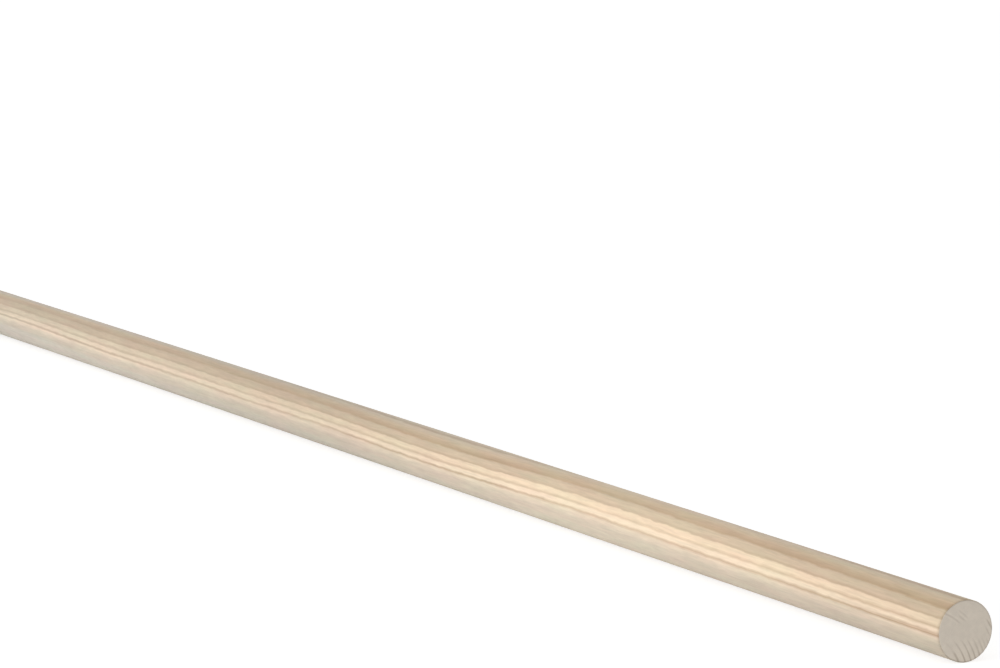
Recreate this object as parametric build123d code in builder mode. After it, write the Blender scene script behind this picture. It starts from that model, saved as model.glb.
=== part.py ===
from build123d import *
import os

# Wooden dowel rod: one straight length of round softwood. It leaves the moulding machine's
# cutter head with a plain round section, the same all the way along, and is then cross-cut
# square at both ends. Sanding eases the sharp corner that the saw leaves round each end.
#
# Frame: the rod lies along X, +Z is up, and the origin is the middle of the rod, on its axis.

# Driving dimensions, in millimetres
rod_diameter = 20.0
rod_length = 1000.0
arris_radius = 0.3  # rounding of the corner between each sawn end and the side

with BuildPart() as dowel_rod:
    # The round section stands on the plane of one sawn end and runs to the other.
    with BuildSketch(Plane.YZ.offset(-rod_length / 2)):
        Circle(rod_diameter / 2)
    extrude(amount=rod_length)

    # The eased corner, one ring at each end
    end_corners = dowel_rod.edges().filter_by(GeomType.CIRCLE)
    fillet(end_corners, radius=arris_radius)

dowel_rod.part.label = "dowel_rod"

os.makedirs("parts", exist_ok=True)
export_step(dowel_rod.part, "parts/dowel_rod.step")
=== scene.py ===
"""A bare softwood dowel rod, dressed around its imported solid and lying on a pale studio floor.

The rod lies along X with its middle at the origin and +Z up. Everything is in metres here, except
the sizes whose names end in _mm. The growth rings are one field in space: it colours the stripes
along the side, draws the arcs on the sawn ends and raises the relief in the mesh.
"""

import logging
import math
from dataclasses import dataclass, field, replace
from enum import Enum

import bmesh
import bpy
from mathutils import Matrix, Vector, noise


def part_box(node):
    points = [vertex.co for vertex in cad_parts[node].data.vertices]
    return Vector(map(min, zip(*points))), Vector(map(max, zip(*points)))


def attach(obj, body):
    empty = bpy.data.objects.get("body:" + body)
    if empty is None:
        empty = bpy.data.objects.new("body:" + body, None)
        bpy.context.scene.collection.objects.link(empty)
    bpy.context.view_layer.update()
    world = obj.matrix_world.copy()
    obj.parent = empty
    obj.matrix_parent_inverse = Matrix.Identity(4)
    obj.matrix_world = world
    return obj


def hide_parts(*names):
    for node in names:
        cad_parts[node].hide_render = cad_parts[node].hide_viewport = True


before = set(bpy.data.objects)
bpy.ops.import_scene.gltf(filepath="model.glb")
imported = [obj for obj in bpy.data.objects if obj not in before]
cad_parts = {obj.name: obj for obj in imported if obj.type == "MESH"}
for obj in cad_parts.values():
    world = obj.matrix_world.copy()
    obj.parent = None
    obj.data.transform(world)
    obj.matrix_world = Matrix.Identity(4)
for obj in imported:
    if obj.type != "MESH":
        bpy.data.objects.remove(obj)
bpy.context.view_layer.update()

LOG = logging.getLogger("dowel_rod")
MM = 0.001
NODE_NAME = "dowel_rod"
# how far one seed lies from the next in the noise, along each axis
SEED_APART = (3.7, 11.3, 7.1)
# where a share stands that its figure moves as far up as down
MIDDLE = 0.5

Socket = bpy.types.NodeSocket
Colour = tuple[float, float, float]


def linear(code: str) -> Colour:
    """Turns an sRGB hex colour into the linear values that the shader takes.

    Args:
        code: six hex digits after a #.

    Returns:
        Linear red, green and blue.
    """
    channels = [int(code[i:i + 2], 16) / 255 for i in (1, 3, 5)]
    # the two parts of the sRGB standard's curve
    return tuple(c / 12.92 if c <= 0.04045 else ((c + 0.055) / 1.055) ** 2.4 for c in channels)


def add_node(tree: bpy.types.NodeTree, kind: str, inputs: dict | None = None, out: int | str = 0,
             stops: tuple[tuple[float, Colour], ...] = (), **settings: object) -> Socket | None:
    """Adds a node with its settings and links.

    Args:
        tree: the tree that the node goes into.
        kind: the node's type, without the ShaderNode that it begins with.
        inputs: a value or an output socket for each input, by its place or name.
        out: the output to give back, by its place or name.
        stops: places and colours, for a colour ramp alone.
        **settings: the node's own properties.

    Returns:
        The chosen output, or None from a node that has none.
    """
    made = tree.nodes.new("ShaderNode" + kind)
    for name, value in settings.items():
        setattr(made, name, value)
    for key, value in (inputs or {}).items():
        if isinstance(value, Socket):
            tree.links.new(value, made.inputs[key])
        else:
            made.inputs[key].default_value = value
    for index, (place, colour) in enumerate(stops):
        elements = made.color_ramp.elements
        stop = elements[index] if index < 2 else elements.new(place)
        stop.position, stop.color = place, (*colour, 1.0)
    return made.outputs[out] if made.outputs else None


class Shade(Enum):
    """The colours that one piece of wood shows from ring to ring, fresh and where it has aged."""

    # the first two, paler and greyer, are painted light: the floor's bounce on the rod's underside
    BOUNCE_LIT_ASH = "#D2C7B6"
    STONE = "#CFC1B0"
    PALE = "#E0CEBA"
    CREAM = "#EFDAC2"
    BUTTER = "#ECD6BB"
    TAN = "#D4BFA6"
    WARM_TAN = "#D4BC9F"
    SOFT_TAN = "#D8C6AE"
    # the first two aged shades carry the same painted bounce light on the underside
    AGED_BOUNCE_LIT_ASH = "#CCC4B9"
    AGED_STONE = "#CEC1B1"
    AGED_PALE = "#E2D1BE"
    AGED_CREAM = "#DFCDB9"
    AGED_BUTTER = "#D4C4AF"
    AGED_TAN = "#CAB7A1"
    AGED_WARM_TAN = "#D1BCA3"
    AGED_SOFT_TAN = "#D1C5B6"


@dataclass(frozen=True)
class GrowthRing:
    """A band of wood that starts at one distance from the pith, with its line of late wood.

    The shade is the early wood's near the near end, and aged is its shade at the far end.
    side_line is how dark its late wood is along the side, late_mm is how far that takes to fade,
    and spread_mm is how far it has spread outwards by the near end.
    """

    inner_mm: float
    shade: Shade
    aged: Shade
    side_line: float = 0.0
    late_mm: float = 1.0
    edge_mm: float = 0.12
    spread_mm: float = 0.0


@dataclass(frozen=True)
class Arc:
    """A line of late wood on the sawn end: a year's, or the fainter one of a false ring."""

    reach_mm: float
    strength: float
    half_mm: float = 0.42


@dataclass(frozen=True)
class Wave:
    """One slow change along the rod: how much, over what length, and where it begins."""

    size: float
    length_mm: float
    phase: float

    def at(self, along_mm: float) -> float:
        """Gives the wave's value at a distance from the near end."""
        return self.size * math.sin(math.tau * along_mm / self.length_mm + self.phase)


@dataclass(frozen=True)
class RingField:
    """The growth rings as a field in space: a point's distance from the pith, and what grew there.

    The rod was cut clear of the pith, which lies outside it, low on the -Y side. The rod's axis
    isn't quite along the trunk, so the rings drift and wander along its length, and they narrow a
    little towards the far end. The ring in the middle of the cut keeps its place as they narrow.
    """

    pith_y_mm: float = -12.6
    pith_z_mm: float = -12.63
    slope: float = 0.00257
    near_end_mm: float = 500.0
    wander: tuple[Wave, ...] = (
        Wave(0.415, 550.0, 6.065),
        Wave(0.381, 294.0, 3.398),
        Wave(0.197, 182.0, 5.424),
    )
    kept_mm: float = 15.5
    narrowing: float = 0.000165
    full_mm: float = 100.0
    breathing: Wave = Wave(0.041, 505.0, 0.029)
    lowered_mm: float = 0.0
    # the centre of the arcs on a sawn end, and how far their distances are lowered
    cut_pith_y_mm: float = -17.59
    cut_pith_z_mm: float = -15.38
    cut_lowered_mm: float = 5.77
    # the stretch of distances that the colour ramps cover
    first_mm: float = 6.0
    last_mm: float = 30.0
    # half the distance over which a line of late wood turns dark along the side
    dark_by_mm: float = 0.36
    rings: tuple[GrowthRing, ...] = (
        # the inmost rings lie on the underside, and their paler, greyer shade is painted bounce
        # light from the floor
        GrowthRing(6.4, Shade.BOUNCE_LIT_ASH, Shade.AGED_BOUNCE_LIT_ASH),
        GrowthRing(7.7, Shade.STONE, Shade.AGED_STONE, edge_mm=0.9),
        GrowthRing(10.5, Shade.PALE, Shade.AGED_PALE, edge_mm=1.1),
        GrowthRing(12.22, Shade.CREAM, Shade.AGED_CREAM, 0.62, 0.85, spread_mm=0.6),
        GrowthRing(14.81, Shade.BUTTER, Shade.AGED_BUTTER, 0.36, 1.0),
        GrowthRing(17.74, Shade.TAN, Shade.AGED_TAN, 0.27, 0.85),
        GrowthRing(21.06, Shade.WARM_TAN, Shade.AGED_WARM_TAN, 0.45, 1.9),
        GrowthRing(24.1, Shade.SOFT_TAN, Shade.AGED_SOFT_TAN, edge_mm=0.9),
        GrowthRing(25.5, Shade.SOFT_TAN, Shade.AGED_SOFT_TAN, 0.36, 1.1),
        GrowthRing(27.7, Shade.TAN, Shade.AGED_STONE),
    )
    arcs: tuple[Arc, ...] = (
        Arc(10.66, 0.56, 0.60),
        Arc(12.89, 0.61),
        Arc(14.92, 0.55),
        Arc(16.63, 0.62),
        Arc(18.33, 0.52, 0.50),
        Arc(19.89, 0.38, 0.55),
        Arc(21.20, 0.34, 0.50),
        Arc(22.52, 0.34, 0.50),
        Arc(23.94, 0.40, 0.50),
        Arc(25.60, 0.44, 0.50),
    )

    def on_the_cut(self) -> "RingField":
        """Gives the field for the sawn ends, where the rings show as arcs flatter than circles.

        Returns:
            The same field with its pith further off and its distances lowered to suit.
        """
        return replace(
            self, pith_y_mm=self.cut_pith_y_mm, pith_z_mm=self.cut_pith_z_mm,
            lowered_mm=self.cut_lowered_mm,
        )

    def reach_mm(self, point_mm: Vector) -> float:
        """Gives a point's distance from the pith, with the rings' narrowing taken out.

        Args:
            point_mm: a point of the rod, in millimetres.

        Returns:
            The distance, as the same ring has it at the full width.
        """
        along = self.near_end_mm - point_mm.x
        pith_z = self.pith_z_mm + self.slope * along + sum(w.at(along) for w in self.wander)
        apart = math.hypot(point_mm.y - self.pith_y_mm, point_mm.z - pith_z) - self.lowered_mm
        width = 1.0 - self.narrowing * (along - self.full_mm) + self.breathing.at(along)
        return self.kept_mm + (apart - self.kept_mm) / width

    def late_wood_at(self, point_mm: Vector) -> float:
        """Gives how much of a point on the side is the dense late wood of its ring.

        Args:
            point_mm: a point of the rod, in millimetres.

        Returns:
            0 in the soft early wood, up to 1 at a ring's dark line.
        """
        reach = self.reach_mm(point_mm)
        held = [ring for ring in self.rings if ring.inner_mm <= reach]
        if not held:
            return 0.0
        ring = held[-1]
        return ring.side_line * max(0.0, 1.0 - (reach - ring.inner_mm) / ring.late_mm)

    def arc_at(self, point_mm: Vector) -> float:
        """Gives how much of a point on a sawn end is the dense late wood of an arc.

        Args:
            point_mm: a point of the rod, in millimetres.

        Returns:
            0 in the soft early wood, up to 1 in the middle of a strong arc.
        """
        reach = self.reach_mm(point_mm)
        return max(
            arc.strength * max(0.0, 1.0 - abs(reach - arc.reach_mm) / arc.half_mm)
            for arc in self.arcs
        )

    def shades(self, aged: bool = False) -> list[tuple[float, Colour]]:
        """Lists where each ring's colour starts and ends.

        Args:
            aged: whether to list the far end's colours and not the near end's.

        Returns:
            Distances from the pith in millimetres, each with its colour.
        """
        colours = [linear((ring.aged if aged else ring.shade).value) for ring in self.rings]
        stops = [(self.first_mm, colours[0])]
        for ring, last, colour in zip(self.rings[1:], colours, colours[1:]):
            stops += [(ring.inner_mm - ring.edge_mm, last), (ring.inner_mm + ring.edge_mm, colour)]
        return stops

    def side_lines(self, spread: bool = False) -> list[tuple[float, Colour]]:
        """Lists the late wood as it shows along the side, dark at once and then fading outwards.

        Args:
            spread: whether to list only the lines that spread, where they have spread to.

        Returns:
            Distances from the pith in millimetres, each with its strength as a grey.
        """
        stops = [(self.first_mm, (0.0,) * 3)]
        for ring in self.rings:
            if ring.side_line > 0.0 and (ring.spread_mm > 0.0 or not spread):
                start = ring.inner_mm + (ring.spread_mm if spread else 0.0)
                stops += [
                    (start - self.dark_by_mm, (0.0,) * 3),
                    (start + self.dark_by_mm, (ring.side_line,) * 3),
                    (start + self.dark_by_mm + ring.late_mm, (0.0,) * 3),
                ]
        return stops

    def end_lines(self) -> list[tuple[float, Colour]]:
        """Lists the arcs on a sawn end, as thin even lines.

        Returns:
            Distances from the pith in millimetres, each with its strength as a grey.
        """
        stops = [(self.first_mm, (0.0,) * 3)]
        for arc in self.arcs:
            stops += [
                (arc.reach_mm - arc.half_mm, (0.0,) * 3),
                (arc.reach_mm, (arc.strength,) * 3),
                (arc.reach_mm + arc.half_mm, (0.0,) * 3),
            ]
        return stops


@dataclass(frozen=True)
class Figure:
    """One layer of the wood's fine figure: a noise that is drawn out along the fibres.

    size is how far it goes above and below, detail is how much finer noise it holds, and seed
    keeps it apart from the other layers.
    """

    run_mm: float
    across_mm: float
    size: float
    detail: float
    seed: float


@dataclass
class GrainNodes:
    """The ring field and the fine figure as shader nodes, shared by both finishes."""

    tree: bpy.types.NodeTree
    rings: RingField
    wavers: tuple[Figure, ...]
    place_mm: Socket = field(init=False)
    along: Socket = field(init=False)
    arm: Socket = field(init=False)
    reach: Socket = field(init=False)

    def __post_init__(self) -> None:
        """Builds the place in millimetres and the distance from the pith, with its wavers."""
        self.place_mm = add_node(self.tree, "VectorMath", {
            0: add_node(self.tree, "TexCoord", out="Object"), "Scale": 1 / MM,
        }, operation="SCALE")
        self.along = add_node(self.tree, "Math", {
            0: self.rings.near_end_mm, 1: self.axes()[0],
        }, operation="SUBTRACT")
        self.arm = self._arm()
        self.reach = self.figured(self._reach(), self.wavers)

    def axes(self) -> bpy.types.bpy_prop_collection:
        """Gives the place along the rod, across it and up it."""
        return add_node(self.tree, "SeparateXYZ", {0: self.place_mm}).node.outputs

    def swung(self, base: Socket | float, wave: Wave) -> Socket:
        """Adds a slow wave along the rod to a value.

        Args:
            base: the value to start from.
            wave: the wave to add.

        Returns:
            The value with the wave in it.
        """
        turn = add_node(self.tree, "Math", {
            0: self.along, 1: math.tau / wave.length_mm, 2: wave.phase,
        }, operation="MULTIPLY_ADD")
        swing = add_node(self.tree, "Math", {0: turn}, operation="SINE")
        return add_node(self.tree, "Math", {
            0: swing, 1: wave.size, 2: base,
        }, operation="MULTIPLY_ADD")

    def _arm(self) -> Socket:
        """Builds the way from the wandering pith to the place, square to the rod.

        Returns:
            The way as a vector, in millimetres.
        """
        tree, rings = self.tree, self.rings
        y, z = self.axes()[1:]
        pith_z = add_node(tree, "Math", {
            0: self.along, 1: rings.slope, 2: rings.pith_z_mm,
        }, operation="MULTIPLY_ADD")
        for wave in rings.wander:
            pith_z = self.swung(pith_z, wave)
        return add_node(tree, "CombineXYZ", {
            1: add_node(tree, "Math", {0: y, 1: rings.pith_y_mm}, operation="SUBTRACT"),
            2: add_node(tree, "Math", {0: z, 1: pith_z}, operation="SUBTRACT"),
        })

    def _reach(self) -> Socket:
        """Builds the distance from the pith, with the rings' narrowing taken out.

        Returns:
            The distance in millimetres, as the same ring has it at the full width.
        """
        tree, rings = self.tree, self.rings
        width = self.swung(add_node(tree, "Math", {
            0: self.along, 1: -rings.narrowing, 2: 1.0 + rings.narrowing * rings.full_mm,
        }, operation="MULTIPLY_ADD"), rings.breathing)
        apart = add_node(tree, "VectorMath", {0: self.arm}, out="Value", operation="LENGTH")
        beyond = add_node(tree, "Math", {
            0: apart, 1: rings.kept_mm + rings.lowered_mm,
        }, operation="SUBTRACT")
        evened = add_node(tree, "Math", {0: beyond, 1: width}, operation="DIVIDE")
        return add_node(tree, "Math", {0: evened, 1: rings.kept_mm}, operation="ADD")

    def figured(self, base: Socket | float, layers: tuple[Figure, ...],
                place: Socket | None = None) -> Socket:
        """Adds layers of fine figure to a value, each as much above it as below.

        Args:
            base: the value to start from.
            layers: the layers to add.
            place: what the layers lie on, with its first axis along them, if not the rod itself.

        Returns:
            The value with the figure in it.
        """
        total = add_node(self.tree, "Math", {
            0: base, 1: sum(layer.size for layer in layers),
        }, operation="SUBTRACT")
        for layer in layers:
            drawn_out = add_node(self.tree, "Mapping", {
                "Vector": place or self.place_mm,
                "Location": tuple(layer.seed * apart for apart in SEED_APART),
                "Scale": (1 / layer.run_mm, 1 / layer.across_mm, 1 / layer.across_mm),
            })
            cloud = add_node(self.tree, "TexNoise", {
                "Vector": drawn_out, "Scale": 1.0, "Detail": layer.detail,
            })
            total = add_node(self.tree, "Math", {
                0: cloud, 1: 2 * layer.size, 2: total,
            }, operation="MULTIPLY_ADD")
        return total

    def by_ring(self, stops: list[tuple[float, Colour]]) -> Socket:
        """Gives what each distance from the pith has.

        Args:
            stops: distances in millimetres, each with its colour.

        Returns:
            The colour at the distance, with straight changes between the stops.
        """
        first, last = self.rings.first_mm, self.rings.last_mm
        share = add_node(self.tree, "MapRange", {0: self.reach, 1: first, 2: last})
        placed = tuple(((reach - first) / (last - first), colour) for reach, colour in stops)
        return add_node(self.tree, "ValToRGB", {0: share}, stops=placed)


@dataclass(frozen=True)
class PlanedSoftwood:
    """Bare pine, turned round by a moulder's cutters and lightly sanded.

    It gives the eye long, nearly straight stripes: wide cream and tan bands of early wood, each
    closed by a thin brown line of late wood, over fine drawn-out fibres with a low satin sheen.
    """

    name: str = "Planed_softwood"
    late_wood: str = "#A68769"
    aged_late_wood: str = "#B09781"
    rosy: str = "#FFFBF9"
    sallow: str = "#FBFFFA"
    roughness: float = 0.52
    ior: float = 1.5
    specular: float = 0.2
    bump_mm: float = 0.02
    bump_strength: float = 0.4
    wavers: tuple[Figure, ...] = (
        Figure(7.0, 3.0, 0.5, 2.0, 1.0),
        Figure(90.0, 9.0, 0.14, 1.0, 2.0),
    )
    # bundles of fibres under half a millimetre wide, and finer ones that only a close look sees
    fibres: tuple[Figure, ...] = (
        Figure(28.0, 0.4, 0.08, 3.0, 4.0),
        Figure(14.0, 0.15, 0.06, 1.0, 13.0),
    )
    # short flecks, clouds, and slow patches
    figure: tuple[Figure, ...] = (
        Figure(7.0, 0.8, 0.12, 2.0, 10.0),
        Figure(24.0, 2.5, 0.10, 2.0, 5.0),
        Figure(70.0, 5.0, 0.04, 1.0, 12.0),
    )
    gloss: Figure = Figure(26.0, 2.5, 0.08, 2.0, 5.0)
    tints: Figure = Figure(26.0, 3.5, 1.2, 1.0, 11.0)
    # resin canals show as short dashes, a little darker than the wood
    canals: Figure = Figure(5.0, 0.16, 0.5, 1.0, 6.0)
    canal_start: float = 0.66
    canal_depth: float = 0.035
    # painted light: the tone rises and falls slowly along the rod, brightest near where the key
    # panel aims
    painted_light_pool: Wave = Wave(0.064, 523.0, 5.194)
    # the late wood is stronger in some stretches than in others, the outmost line's most of all
    ebb: Wave = Wave(0.20, 340.0, 1.2)
    ebb_figure: Figure = Figure(60.0, 5.0, 0.3, 1.0, 3.0)
    outer_ebb: Wave = Wave(0.25, 380.0, 1.571)
    outer_from_mm: float = 24.3
    outer_by_mm: float = 24.8
    # by the near end some late wood spreads outwards
    spread: float = 0.75
    spread_full_mm: float = 22.0
    spread_end_mm: float = 60.0
    # the wood greys slowly towards the far end
    ages_from_mm: float = 233.0
    aged_by_mm: float = 772.0
    # handling has soiled the eased corners
    soil_mm: float = 1.5
    soil_full_mm: float = 0.3
    dirt_and_shade: float = 0.86

    def build(self, rings: RingField) -> bpy.types.Material:
        """Builds the material.

        Args:
            rings: the growth rings that the stripes follow.

        Returns:
            The new material.
        """
        made = bpy.data.materials.new(self.name)
        made.use_nodes = True
        tree = made.node_tree
        tree.nodes.clear()
        grain = GrainNodes(tree, rings, self.wavers)
        fibres = grain.figured(1.0, self.fibres)
        canal = add_node(tree, "Math", {
            0: grain.figured(MIDDLE, (self.canals,)), 1: self.canal_start,
        }, operation="GREATER_THAN")
        tone = add_node(tree, "Math", {
            0: canal, 1: -self.canal_depth, 2: grain.figured(fibres, self.figure),
        }, operation="MULTIPLY_ADD")
        # the painted light along the rod, and the soiled corners
        tone = add_node(tree, "Math", {0: tone, 1: self._along(grain)}, operation="MULTIPLY")
        colour = add_node(tree, "VectorMath", {
            0: self._stripes(grain), "Scale": tone,
        }, operation="SCALE")
        shader = add_node(tree, "BsdfPrincipled", {
            "Base Color": colour,
            "Roughness": grain.figured(self.roughness, (self.gloss,)),
            "IOR": self.ior, "Specular IOR Level": self.specular,
            "Normal": add_node(tree, "Bump", {
                "Height": fibres, "Strength": self.bump_strength, "Distance": self.bump_mm * MM,
            }),
        })
        add_node(tree, "OutputMaterial", {0: shader})
        return made

    def _stripes(self, grain: GrainNodes) -> Socket:
        """Colours each ring, fresh or aged, draws its late wood over it and tints the wood.

        Args:
            grain: the ring field's nodes.

        Returns:
            The wood's colour.
        """
        tree = grain.tree
        far = add_node(tree, "MapRange", {
            0: grain.along, 1: self.ages_from_mm, 2: self.aged_by_mm,
        })
        early = add_node(tree, "Mix", {
            0: far, 6: grain.by_ring(grain.rings.shades()),
            7: grain.by_ring(grain.rings.shades(aged=True)),
        }, out=2, data_type="RGBA")
        late = add_node(tree, "Mix", {
            0: far, 6: (*linear(self.late_wood), 1.0), 7: (*linear(self.aged_late_wood), 1.0),
        }, out=2, data_type="RGBA")
        wood = add_node(tree, "Mix", {
            0: self._late_wood(grain), 6: early, 7: late,
        }, out=2, data_type="RGBA")
        # patches lean to rose or to olive
        tint = add_node(tree, "Mix", {
            0: grain.figured(MIDDLE, (self.tints,)),
            6: (*linear(self.rosy), 1.0), 7: (*linear(self.sallow), 1.0),
        }, out=2, data_type="RGBA")
        return add_node(tree, "Mix", {
            0: 1.0, 6: wood, 7: tint,
        }, out=2, data_type="RGBA", blend_type="MULTIPLY")

    def _late_wood(self, grain: GrainNodes) -> Socket:
        """Gives how strongly the late wood shows, which comes and goes along the rod.

        Args:
            grain: the ring field's nodes.

        Returns:
            0 in the early wood, up to 1 in a dark line.
        """
        tree = grain.tree
        near = add_node(tree, "MapRange", {
            0: grain.along, 1: self.spread_end_mm, 2: self.spread_full_mm, 4: self.spread,
        })
        spread = add_node(tree, "Math", {
            0: grain.by_ring(grain.rings.side_lines(spread=True)), 1: near,
        }, operation="MULTIPLY")
        line = add_node(tree, "Math", {
            0: grain.by_ring(grain.rings.side_lines()), 1: spread,
        }, operation="MAXIMUM")
        strength = add_node(tree, "Mix", {
            0: add_node(tree, "MapRange", {
                0: grain.reach, 1: self.outer_from_mm, 2: self.outer_by_mm,
            }),
            2: 1.0, 3: grain.swung(1.0, self.outer_ebb),
        })
        for share in (line, grain.figured(grain.swung(1.0, self.ebb), (self.ebb_figure,))):
            strength = add_node(tree, "Math", {0: strength, 1: share}, operation="MULTIPLY")
        return strength

    def _along(self, grain: GrainNodes) -> Socket:
        """Gives the painted light that rises and falls along the rod, and the soiled eased
        corners.

        Args:
            grain: the ring field's nodes.

        Returns:
            A tone around 1, duller at the eased corners.
        """
        out = add_node(grain.tree, "Math", {0: grain.axes()[0]}, operation="ABSOLUTE")
        end = grain.rings.near_end_mm
        corner = add_node(grain.tree, "MapRange", {
            0: out, 1: end - self.soil_mm, 2: end - self.soil_full_mm, 3: 1.0, 4: self.dirt_and_shade,
        })
        return add_node(grain.tree, "Math", {
            0: grain.swung(1.0, self.painted_light_pool), 1: corner,
        }, operation="MULTIPLY")


class Across(Enum):
    """What a place on the sawn end is measured by."""

    REACH = "away from the pith"
    Y = "across the face"
    Z = "up the face"


@dataclass(frozen=True)
class Limit:
    """One soft edge of a clearing: nothing shows before start_mm, or only the least share."""

    by: Across
    start_mm: float
    end_mm: float
    least: float = 0.0


@dataclass(frozen=True)
class Clearing:
    """A place where the saw's fuzz has come away, within all its limits, so that rings show."""

    strength: float
    limits: tuple[Limit, ...]


@dataclass(frozen=True)
class SawnEndGrain:
    """The cut across the fibres, left by a fine saw.

    It gives the eye a matt, greyer beige than the side, because the open fibre ends swallow light,
    with the rings as faint curved lines that the saw's fuzz hides towards the middle.
    """

    name: str = "Sawn_end_grain"
    face: str = "#E3D8C9"
    # the early wood is paler where the fuzz has come away
    bare: str = "#E9DECF"
    line: str = "#9F8F7D"
    roughness: float = 0.85
    ior: float = 1.5
    specular: float = 0.2
    bump_mm: float = 0.3
    bump_strength: float = 0.5
    wavers: tuple[Figure, ...] = (
        Figure(16.0, 3.0, 0.05, 2.0, 1.0),
        Figure(90.0, 9.0, 0.10, 1.0, 2.0),
    )
    cells: Figure = Figure(0.22, 0.22, 0.06, 2.0, 8.0)
    clouds: Figure = Figure(5.0, 2.4, 0.08, 2.0, 9.0)
    # rays run out from the pith, drawn wider than real ones so that they show at all
    rays: Figure = Figure(3.0, 0.2, 0.03, 1.0, 14.0)
    # the saw leaves shallow straight scores, one tooth's bite apart
    saw_pitch_mm: float = 0.9
    saw_lean: float = 0.42
    saw_depth: float = 0.035
    # painted shade darkens the rim, but for its -Y side, which faces the key
    rim_mm: float = 9.35
    rim_full_mm: float = 9.75
    unshaded_y_mm: float = -8.0
    shaded_y_mm: float = -4.0
    dirt_and_shade: float = 0.78
    # the saw's fuzz hides the rings but for these places by the rim
    fuzzed: float = 0.02
    patches: Figure = Figure(9.0, 3.0, 0.4, 1.0, 7.0)
    patch_tone: float = 0.95
    clearings: tuple[Clearing, ...] = (
        # low on the face, stronger towards the rim
        Clearing(1.0, (
            Limit(Across.REACH, 11.4, 11.9), Limit(Across.Z, -2.2, -3.6),
            Limit(Across.Z, -3.0, -7.6, 0.45),
        )),
        # the inmost arc, only at the rim
        Clearing(1.0, (
            Limit(Across.REACH, 11.9, 11.4), Limit(Across.Z, -2.6, -3.6),
            Limit(Across.Z, -5.7, -6.9, 0.2),
        )),
        # high on the -Y side, one arc that fades inwards
        Clearing(0.62, (
            Limit(Across.REACH, 17.4, 17.7), Limit(Across.REACH, 19.3, 19.0),
            Limit(Across.Z, 1.9, 3.1), Limit(Across.Y, -0.9, -3.0),
            Limit(Across.Y, -9.5, -7.5, 0.75),
        )),
        # and beside it the ends of the next two
        Clearing(0.75, (
            Limit(Across.REACH, 19.0, 19.3), Limit(Across.REACH, 21.9, 21.6),
            Limit(Across.Z, 2.9, 3.7), Limit(Across.Y, 1.1, 0.3), Limit(Across.Y, -2.9, -2.1),
        )),
        # a short stretch of the +Y rim
        Clearing(1.0, (
            Limit(Across.Z, 3.6, 2.8), Limit(Across.Z, -2.6, -1.6), Limit(Across.Y, 6.8, 8.6),
        )),
    )

    def build(self, rings: RingField) -> bpy.types.Material:
        """Builds the material.

        Args:
            rings: the growth rings that the arcs follow.

        Returns:
            The new material.
        """
        made = bpy.data.materials.new(self.name)
        made.use_nodes = True
        tree = made.node_tree
        tree.nodes.clear()
        grain = GrainNodes(tree, rings.on_the_cut(), self.wavers)
        bared = self._bared(grain)
        early = add_node(tree, "Mix", {
            0: bared, 6: (*linear(self.face), 1.0), 7: (*linear(self.bare), 1.0),
        }, out=2, data_type="RGBA")
        line = add_node(tree, "Math", {
            0: grain.by_ring(grain.rings.end_lines()), 1: bared,
        }, operation="MULTIPLY")
        wood = add_node(tree, "Mix", {
            0: line, 6: early, 7: (*linear(self.line), 1.0),
        }, out=2, data_type="RGBA")
        cells = grain.figured(1.0, (self.cells,))
        tone = self._rayed(grain, grain.figured(cells, (self.clouds,)))
        # the rim's painted shade
        tone = add_node(tree, "Math", {0: tone, 1: self._rim_shade(grain)}, operation="MULTIPLY")
        colour = add_node(tree, "VectorMath", {0: wood, "Scale": tone}, operation="SCALE")
        shader = add_node(tree, "BsdfPrincipled", {
            "Base Color": colour,
            "Roughness": self.roughness, "IOR": self.ior, "Specular IOR Level": self.specular,
            "Normal": add_node(tree, "Bump", {
                "Height": self._scored(grain, cells), "Strength": self.bump_strength,
                "Distance": self.bump_mm * MM,
            }),
        })
        add_node(tree, "OutputMaterial", {0: shader})
        return made

    def _rayed(self, grain: GrainNodes, tone: Socket) -> Socket:
        """Adds the rays to a tone.

        Args:
            grain: the ring field's nodes.
            tone: the tone to start from.

        Returns:
            The tone with the rays in it.
        """
        y, z = add_node(grain.tree, "SeparateXYZ", {0: grain.arm}).node.outputs[1:]
        turn = add_node(grain.tree, "Math", {0: z, 1: y}, operation="ARCTAN2")
        outward = add_node(grain.tree, "CombineXYZ", {
            0: grain.reach,
            1: add_node(grain.tree, "Math", {
                0: turn, 1: grain.rings.last_mm,
            }, operation="MULTIPLY"),
        })
        return grain.figured(tone, (self.rays,), outward)

    def _rim_shade(self, grain: GrainNodes) -> Socket:
        """Gives the rim's painted shade.

        Args:
            grain: the ring field's nodes.

        Returns:
            1 over the face, and less at the rim.
        """
        tree, (y, z) = grain.tree, grain.axes()[1:]
        out = add_node(tree, "VectorMath", {
            0: add_node(tree, "CombineXYZ", {1: y, 2: z}),
        }, out="Value", operation="LENGTH")
        # painted shade, left off on the -Y side that faces the key
        dirt_and_shade = add_node(tree, "MapRange", {
            0: y, 1: self.unshaded_y_mm, 2: self.shaded_y_mm, 3: 1.0, 4: self.dirt_and_shade,
        })
        return add_node(tree, "MapRange", {
            0: out, 1: self.rim_mm, 2: self.rim_full_mm, 3: 1.0, 4: dirt_and_shade,
        })

    def _scored(self, grain: GrainNodes, height: Socket) -> Socket:
        """Adds the saw's scores to a height.

        Args:
            grain: the ring field's nodes.
            height: the height to start from.

        Returns:
            The height with the scores in it.
        """
        tree, (y, z) = grain.tree, grain.axes()[1:]
        over = add_node(tree, "Math", {0: y, 1: self.saw_lean, 2: z}, operation="MULTIPLY_ADD")
        turn = add_node(tree, "Math", {
            0: over, 1: math.tau / self.saw_pitch_mm,
        }, operation="MULTIPLY")
        return add_node(tree, "Math", {
            0: add_node(tree, "Math", {0: turn}, operation="SINE"),
            1: self.saw_depth, 2: height,
        }, operation="MULTIPLY_ADD")

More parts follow.
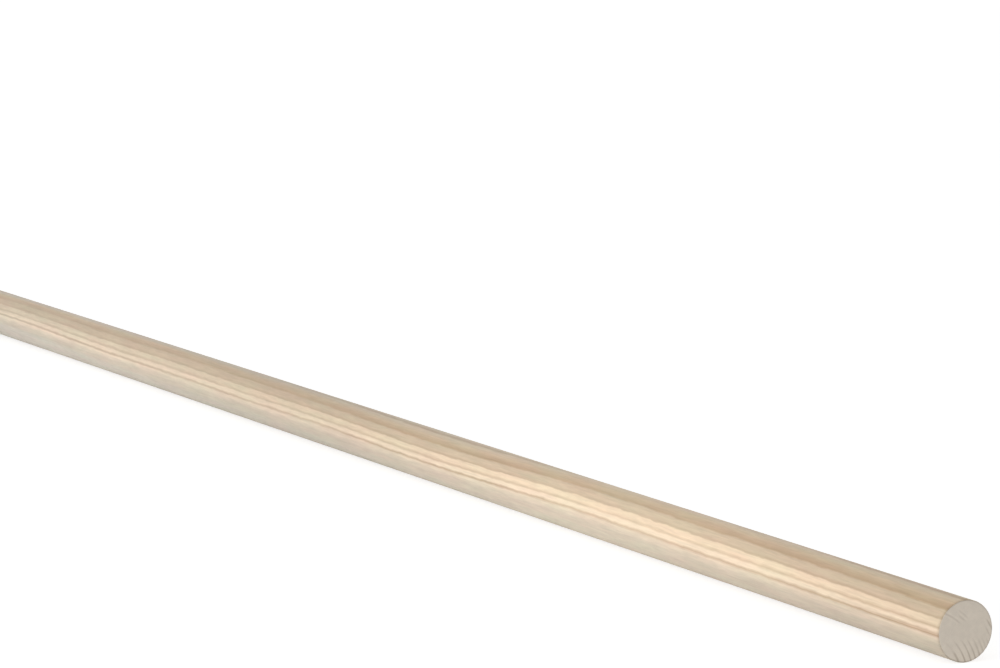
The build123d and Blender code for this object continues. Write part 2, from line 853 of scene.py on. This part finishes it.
    def _bared(self, grain: GrainNodes) -> Socket:
        """Gives where the rings show: the saw's fuzz hides them but for the clearings.

        Args:
            grain: the ring field's nodes.

        Returns:
            Next to 0 where fuzz hides the rings, up to 1 where they show.
        """
        tree, (y, z) = grain.tree, grain.axes()[1:]
        measures = {Across.REACH: grain.reach, Across.Y: y, Across.Z: z}
        total: Socket | float = self.fuzzed
        for clearing in self.clearings:
            shown: Socket | float = clearing.strength
            for limit in clearing.limits:
                edge = add_node(tree, "MapRange", {
                    0: measures[limit.by], 1: limit.start_mm, 2: limit.end_mm, 3: limit.least,
                })
                shown = add_node(tree, "Math", {0: shown, 1: edge}, operation="MULTIPLY")
            total = add_node(tree, "Math", {0: total, 1: shown}, operation="MAXIMUM")
        patchy = grain.figured(self.patch_tone, (self.patches,))
        return add_node(tree, "Math", {0: total, 1: patchy}, operation="MULTIPLY")


class Finish(Enum):
    """Where each finish stands in the rod's list of materials."""

    SIDE = 0
    END = 1


@dataclass
class DowelRod:
    """The rod itself: one closed mesh with eased ends and the grain raised in it."""

    radius: float
    length: float
    rings: RingField
    segments: int = 256
    rows: int = 250
    arris_mm: float = 0.3
    arris_segments: int = 4
    end_rings: int = 26
    side_relief_mm: float = 0.025
    end_relief_mm: float = 0.02
    arris_wear_mm: float = 0.06
    wear_length_mm: float = 1.1
    # a face that leans out along the rod by more than this share of its normal is end grain
    end_grain_from: float = 0.9
    # how near to a surface a vertex lies that counts as on it
    near_mm: float = 0.02

    def build(self) -> bpy.types.Object:
        """Builds and dresses the rod.

        Returns:
            The finished piece, with its object at the origin.
        """
        bm = bmesh.new()
        self._block_out(bm)
        self._ease_ends(bm)
        self._add_rows(bm)
        self._ring_the_ends(bm)
        self._raise_grain(bm)
        for face in bm.faces:
            face.smooth = True
            end = abs(face.normal.x) > self.end_grain_from
            face.material_index = Finish.END.value if end else Finish.SIDE.value
        bmesh.ops.recalc_face_normals(bm, faces=bm.faces)
        mesh = bpy.data.meshes.new("Dowel_rod")
        bm.to_mesh(mesh)
        bm.free()
        mesh.materials.append(PlanedSoftwood().build(self.rings))
        mesh.materials.append(SawnEndGrain().build(self.rings))
        rod = bpy.data.objects.new("Dowel_rod", mesh)
        bpy.context.scene.collection.objects.link(rod)
        return rod

    def _block_out(self, bm: bmesh.types.BMesh) -> None:
        """Makes the plain round bar, along X.

        Args:
            bm: the empty mesh.
        """
        bmesh.ops.create_cone(
            bm, cap_ends=True, cap_tris=False, segments=self.segments,
            radius1=self.radius, radius2=self.radius, depth=self.length,
        )
        turn = Vector((0, 0, 1)).rotation_difference(Vector((1, 0, 0))).to_matrix()
        bmesh.ops.rotate(bm, verts=bm.verts, cent=(0, 0, 0), matrix=turn)

    def _ease_ends(self, bm: bmesh.types.BMesh) -> None:
        """Rounds the corner that the saw leaves round each end.

        Args:
            bm: the mesh of the plain bar.
        """
        rims = [e for e in bm.edges if abs(e.verts[0].co.x - e.verts[1].co.x) < MM]
        bmesh.ops.bevel(
            bm, geom=rims, offset=self.arris_mm * MM, offset_type="OFFSET",
            segments=self.arris_segments, profile=0.5, affect="EDGES", material=-1,
        )

    def _add_rows(self, bm: bmesh.types.BMesh) -> None:
        """Divides the side along its length, so that it can carry the grain's relief.

        Args:
            bm: the mesh of the eased bar.
        """
        long_edges = [e for e in bm.edges if e.calc_length() > self.length / 2]
        bmesh.ops.subdivide_edges(bm, edges=long_edges, cuts=self.rows, use_grid_fill=False)

    def _ring_the_ends(self, bm: bmesh.types.BMesh) -> None:
        """Divides each sawn face into rings that close at a pole in the middle.

        Args:
            bm: the mesh with its rows.
        """
        caps = [f for f in bm.faces if len(f.verts) == self.segments]
        step = (self.radius - self.arris_mm * MM) / (self.end_rings + 1)
        for cap in caps:
            for _ in range(self.end_rings):
                bmesh.ops.inset_region(
                    bm, faces=[cap], thickness=step, depth=0.0, use_even_offset=True,
                )
            bmesh.ops.poke(bm, faces=[cap])

    def _raise_grain(self, bm: bmesh.types.BMesh) -> None:
        """Sinks the soft early wood a little, and wears the eased corners unevenly.

        Args:
            bm: the mesh with its rows and rings.
        """
        on_cut = self.rings.on_the_cut()
        end, rim = self.length / 2, self.radius - self.arris_mm * MM
        eased, near = end - self.arris_mm * MM, self.near_mm * MM
        for vert in bm.verts:
            place = vert.co / MM
            out = Vector((0, vert.co.y, vert.co.z))
            away = out.normalized()
            if abs(vert.co.x) > end - near and out.length < rim + near:
                soft = 1.0 - on_cut.arc_at(place)
                vert.co.x -= math.copysign(self.end_relief_mm * MM * soft, vert.co.x)
            elif abs(vert.co.x) < eased + near:
                soft = 1.0 - self.rings.late_wood_at(place)
                vert.co -= away * (self.side_relief_mm * MM * soft)
            else:
                worn = MIDDLE + MIDDLE * noise.noise(place / self.wear_length_mm)
                inward = Vector((math.copysign(1.0, vert.co.x), away.y, away.z)).normalized()
                vert.co -= inward * (self.arris_wear_mm * MM * worn)


@dataclass(frozen=True)
class Panel:
    """A soft rectangular lamp that faces a point.

    level is the share of its colour that a matt surface facing the lamp at that point shows, and
    gleams says whether the lamp shows in a gloss.
    """

    name: str
    place: tuple[float, float, float]
    aim: tuple[float, float, float]
    size: tuple[float, float]
    level: float
    gleams: bool = True

    def hang(self) -> None:
        """Hangs the panel in the scene, at the power that its distance asks for."""
        lamp = bpy.data.lights.new(self.name, "AREA")
        lamp.shape = "RECTANGLE"
        lamp.size, lamp.size_y = self.size
        way = Vector(self.aim) - Vector(self.place)
        # a matt white surface that far away, facing the lamp, shows level times full white
        lamp.energy = self.level * math.pi ** 2 * way.length_squared
        panel = bpy.data.objects.new(self.name, lamp)
        panel.location = self.place
        panel.rotation_euler = way.to_track_quat("-Z", "Y").to_euler()
        panel.visible_glossy = self.gleams
        bpy.context.scene.collection.objects.link(panel)


@dataclass(frozen=True)
class LongLens:
    """The camera: a long lens that looks back along the rod from beyond its near end."""

    place: tuple[float, float, float] = (1.6363, -0.7468, 0.2816)
    gaze: tuple[float, float, float] = (-0.8810, 0.4526, -0.1378)
    lens_mm: float = 159.23
    sensor_mm: float = 36.0
    nearest: float = 0.01
    farthest: float = 500.0

    def set_up(self) -> None:
        """Stands the camera in the scene and makes it the one in use."""
        lens = bpy.data.cameras.new("Camera")
        lens.sensor_width, lens.lens = self.sensor_mm, self.lens_mm
        lens.clip_start, lens.clip_end = self.nearest, self.farthest
        camera = bpy.data.objects.new("Camera", lens)
        camera.location = self.place
        camera.rotation_euler = Vector(self.gaze).to_track_quat("-Z", "Y").to_euler()
        bpy.context.scene.collection.objects.link(camera)
        bpy.context.scene.camera = camera


@dataclass
class Studio:
    """The floor, the light and the camera."""

    floor_height: float
    floor_half: float = 60.0
    floor_white: float = 0.92
    # what the floor shows: a plain white, less a soft shadow
    paper_white: float = 1.04
    shadow_share: float = 0.30
    dome: float = 0.56
    panels_on_floor: float = 0.1
    # a broad key low on the -Y side, level with the rod's flank, and fills for the ends and back
    panels: tuple[Panel, ...] = (
        Panel("Key_panel", (0.28, -1.46, 0.36), (0.25, 0.0, 0.0), (1.1, 0.6), 0.54),
        Panel("Near_fill", (3.6, 0.5, 1.0), (0.5, 0.0, 0.0), (1.6, 1.6), 0.05),
        Panel("Far_fill", (-3.6, 0.5, 0.4), (-0.5, 0.0, 0.0), (1.6, 0.7), 0.08, gleams=False),
        Panel("Back_fill", (0.0, 3.0, 0.24), (0.0, 0.0, 0.0), (2.4, 0.45), 0.23, gleams=False),
    )
    camera: LongLens = LongLens()

    def build(self) -> bpy.types.Object:
        """Builds the set around the rod.

        Returns:
            The floor.
        """
        floor = self._floor()
        self._dome()
        for panel in self.panels:
            panel.hang()
        self.camera.set_up()
        return floor

    def _floor(self) -> bpy.types.Object:
        """Makes the floor, which shows as white paper that keeps a soft shadow.

        Returns:
            The floor.
        """
        bm = bmesh.new()
        bmesh.ops.create_grid(bm, x_segments=1, y_segments=1, size=self.floor_half)
        bmesh.ops.translate(bm, verts=bm.verts, vec=(0, 0, self.floor_height))
        mesh = bpy.data.meshes.new("Floor")
        bm.to_mesh(mesh)
        bm.free()
        paper = bpy.data.materials.new("White_paper")
        paper.use_nodes = True
        tree = paper.node_tree
        tree.nodes.clear()
        shade = self.shadow_share / (self.dome + self.panels_on_floor)
        shown = add_node(tree, "AddShader", {
            0: add_node(tree, "BsdfDiffuse", {0: (shade, shade, shade, 1.0)}),
            1: add_node(tree, "Emission", {1: self.paper_white - self.shadow_share}),
        })
        mixed = add_node(tree, "MixShader", {
            0: self._seen(tree),
            1: add_node(tree, "BsdfDiffuse", {0: (*(self.floor_white,) * 3, 1.0)}),
            2: shown,
        })
        add_node(tree, "OutputMaterial", {0: mixed})
        mesh.materials.append(paper)
        floor = bpy.data.objects.new("Floor", mesh)
        bpy.context.scene.collection.objects.link(floor)
        return floor

    @staticmethod
    def _seen(tree: bpy.types.NodeTree) -> Socket:
        """Tells the rays that show the background, straight or in a gloss, from those that light.

        Args:
            tree: the tree that the nodes go into.

        Returns:
            1 for a ray that shows the background, and 0 for one that lights.
        """
        path = add_node(tree, "LightPath").node.outputs
        seen = path["Is Camera Ray"]
        for name in ("Is Glossy Ray", "Is Transmission Ray"):
            seen = add_node(tree, "Math", {0: seen, 1: path[name]}, operation="MAXIMUM")
        return seen

    def _dome(self) -> None:
        """Sets the even light from all round, and the white that the eye sees behind."""
        world = bpy.data.worlds.new("Studio_dome")
        bpy.context.scene.world = world
        world.use_nodes = True
        tree = world.node_tree
        tree.nodes.clear()
        strength = add_node(tree, "MapRange", {0: self._seen(tree), 3: self.dome, 4: 1.0})
        back = add_node(tree, "Background", {0: (1.0, 1.0, 1.0, 1.0), 1: strength})
        add_node(tree, "OutputWorld", {0: back})


def main() -> None:
    """Builds the rod and its studio."""
    logging.basicConfig(level=logging.INFO, format="%(name)s: %(message)s")
    bpy.context.scene.view_settings.view_transform = "Standard"
    low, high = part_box(NODE_NAME)
    radius = (high.y - low.y) / 2
    rod = DowelRod(radius=radius, length=high.x - low.x, rings=RingField()).build()
    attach(rod, "root")
    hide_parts(NODE_NAME)
    LOG.info("rod: %d faces", len(rod.data.polygons))
    floor = Studio(floor_height=-radius).build()
    LOG.info("studio: floor at %.4f m", -radius)


if __name__ == "__main__":
    main()
